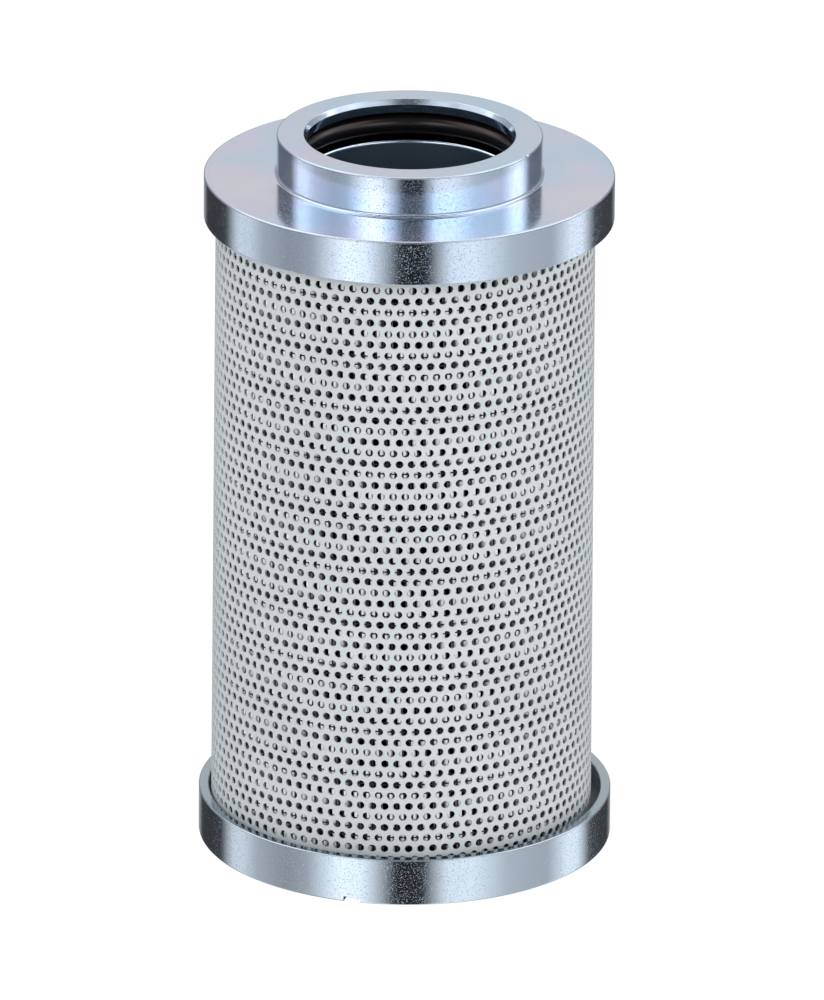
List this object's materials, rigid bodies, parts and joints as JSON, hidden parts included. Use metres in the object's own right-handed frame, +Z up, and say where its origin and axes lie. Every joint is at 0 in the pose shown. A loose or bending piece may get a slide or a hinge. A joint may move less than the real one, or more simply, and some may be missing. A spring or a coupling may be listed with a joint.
{
  "type": "pleated hydraulic filter element",
  "caption": "Cylindrical pleated hydraulic filter element with metal end caps, a sealed bore at the top, a closed base and a finely perforated outer wrap.",
  "frame": {"origin": "centre of the flat bottom face of the closed end cap", "axes": "+Z up along the caps' axis, out of the open bore; -Y is the front"},
  "size_m": [0.0692, 0.0692, 0.1235],
  "materials": {
    "zinc_plated_steel": "bright zinc plating, turned",
    "seal_rubber": "semi-gloss",
    "core_steel": "plated",
    "potting_resin": "cast",
    "filter_web": "matte",
    "wrap_sheet": "matte"
  },
  "bodies": {
    "root": {"top_end_cap": "zinc_plated_steel", "bottom_end_cap": "zinc_plated_steel", "o_ring": "seal_rubber", "core_tube": "core_steel", "top_potting": "potting_resin", "bottom_potting": "potting_resin", "pleated_media": "filter_web", "seam_bead": "potting_resin", "outer_wrap": "wrap_sheet"}
  },
  "joints": []
}
